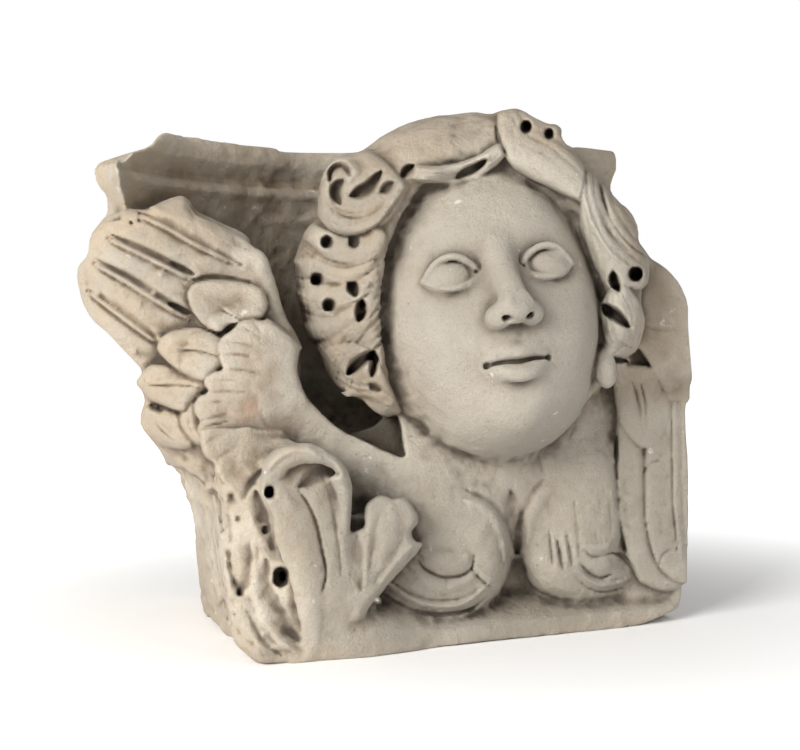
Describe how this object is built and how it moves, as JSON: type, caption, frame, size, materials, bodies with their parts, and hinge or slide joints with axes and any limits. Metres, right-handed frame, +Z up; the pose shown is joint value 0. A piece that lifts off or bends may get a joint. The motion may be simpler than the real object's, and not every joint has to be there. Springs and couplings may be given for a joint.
{
  "type": "marble cherub head",
  "caption": "Carved marble corner of a small capital: a winged child's head over two scrolling tufts, with a leaf, a plain ledge and a moulded top.",
  "frame": {"origin": "in the middle of the flat underside", "axes": "+Z up, -Y to the front where the head looks out, +X towards the sawn joint face"},
  "size_m": [0.3499, 0.2568, 0.3068],
  "materials": {
    "marble": "matt carved marble, smooth on the face and rough on the broken sides, with warm patina"
  },
  "bodies": {
    "root": {"carved_stone": "marble"}
  },
  "joints": []
}
